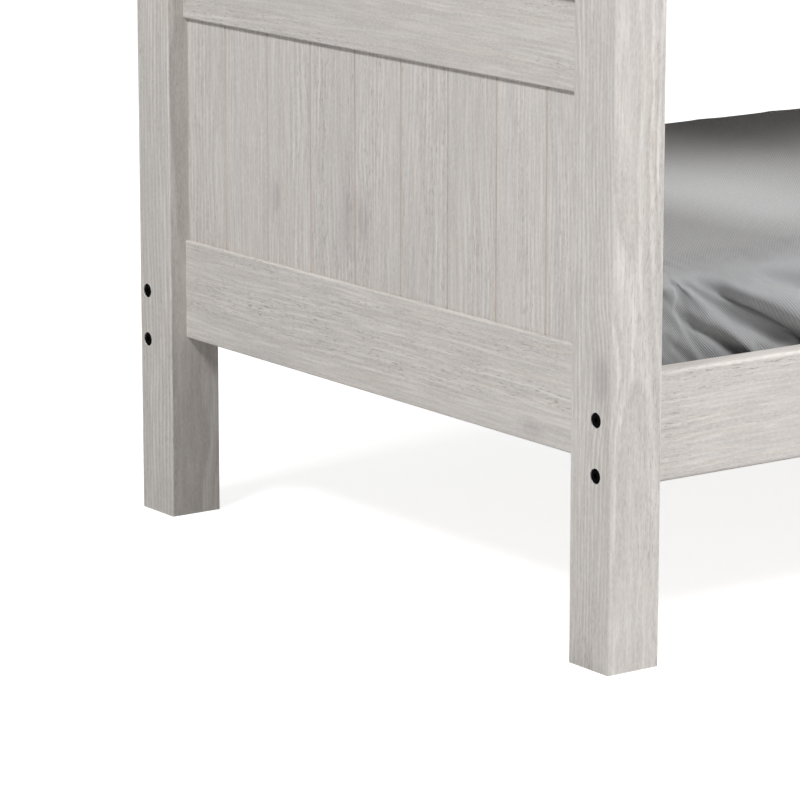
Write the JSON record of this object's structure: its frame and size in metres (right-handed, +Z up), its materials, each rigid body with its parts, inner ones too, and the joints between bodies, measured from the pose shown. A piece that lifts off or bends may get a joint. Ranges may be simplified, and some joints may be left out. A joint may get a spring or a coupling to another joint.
{
  "type": "bunk bed with ladder",
  "caption": "Two single beds stacked on square posts, with boarded panel ends, bolted side rails, slats, mattresses, guard rails and a leaning ladder that hooks over the upper rail.",
  "frame": {"origin": "on the floor, under the middle of the whole object with its ladder", "axes": "+X along the bed towards the ladder's end, +Y from the ladder side to the rear, +Z up"},
  "size_m": [2.08, 1.3812, 1.64],
  "materials": {
    "whitewashed_wood": "satin",
    "slat_wood": "matte",
    "dowel_wood": "matte",
    "black_steel": "satin",
    "zinc_steel": "satin",
    "mattress_ticking": "matte",
    "sheet_fabric": "matte",
    "webbing": "matte",
    "foot_rubber": "matte"
  },
  "bodies": {
    "frame": {"front_left_post": "whitewashed_wood", "rear_left_post": "whitewashed_wood", "front_right_post": "whitewashed_wood", "rear_right_post": "whitewashed_wood", "lower_left_bottom_rail": "whitewashed_wood", "lower_left_panel_boards": "whitewashed_wood", "lower_left_top_rail": "whitewashed_wood", "lower_left_cap": "whitewashed_wood", "lower_right_bottom_rail": "whitewashed_wood", "lower_right_panel_boards": "whitewashed_wood", "lower_right_top_rail": "whitewashed_wood", "lower_right_cap": "whitewashed_wood", "upper_left_bottom_rail": "whitewashed_wood", "upper_left_panel_boards": "whitewashed_wood", "upper_left_top_rail": "whitewashed_wood", "upper_left_cap": "whitewashed_wood", "upper_right_bottom_rail": "whitewashed_wood", "upper_right_panel_boards": "whitewashed_wood", "upper_right_top_rail": "whitewashed_wood", "upper_right_cap": "whitewashed_wood", "lower_front_rail": "whitewashed_wood", "lower_rear_rail": "whitewashed_wood", "upper_front_rail": "whitewashed_wood", "upper_rear_rail": "whitewashed_wood", "lower_front_cleat": "whitewashed_wood", "lower_rear_cleat": "whitewashed_wood", "upper_front_cleat": "whitewashed_wood", "upper_rear_cleat": "whitewashed_wood", "lower_slats": "slat_wood", "upper_slats": "slat_wood", "lower_slat_straps": "webbing", "upper_slat_straps": "webbing", "front_guard_low_board": "whitewashed_wood", "front_guard_top_board": "whitewashed_wood", "rear_guard_low_board": "whitewashed_wood", "rear_guard_top_board": "whitewashed_wood", "front_guard_stile": "whitewashed_wood", "front_guard_upright": "whitewashed_wood", "rear_guard_upright": "whitewashed_wood", "bed_bolts": "black_steel", "barrel_nuts": "zinc_steel", "dowels": "dowel_wood", "cleat_screws": "zinc_steel", "guard_screws": "black_steel"},
    "lower_bedding": {"lower_mattress": "mattress_ticking", "lower_fitted_sheet": "sheet_fabric"},
    "upper_bedding": {"upper_mattress": "mattress_ticking", "upper_fitted_sheet": "sheet_fabric"},
    "ladder": {"ladder_left_stringer": "whitewashed_wood", "ladder_right_stringer": "whitewashed_wood", "ladder_rung_1": "whitewashed_wood", "ladder_rung_2": "whitewashed_wood", "ladder_rung_3": "whitewashed_wood", "ladder_rung_4": "whitewashed_wood", "ladder_left_hook": "black_steel", "ladder_right_hook": "black_steel", "ladder_hook_screws": "black_steel", "ladder_rung_screws": "black_steel", "ladder_feet": "foot_rubber"}
  },
  "joints": [
    {"name": "ladder_lift", "type": "slide", "parent": "frame", "child": "ladder", "axis": [0, 0, 1], "range_m": [0, 0.06]},
    {"name": "lower_mattress_lift", "type": "slide", "parent": "frame", "child": "lower_bedding", "axis": [0, 0, 1], "range_m": [0, 0.12]},
    {"name": "upper_mattress_lift", "type": "slide", "parent": "frame", "child": "upper_bedding", "axis": [0, 0, 1], "range_m": [0, 0.43]}
  ]
}
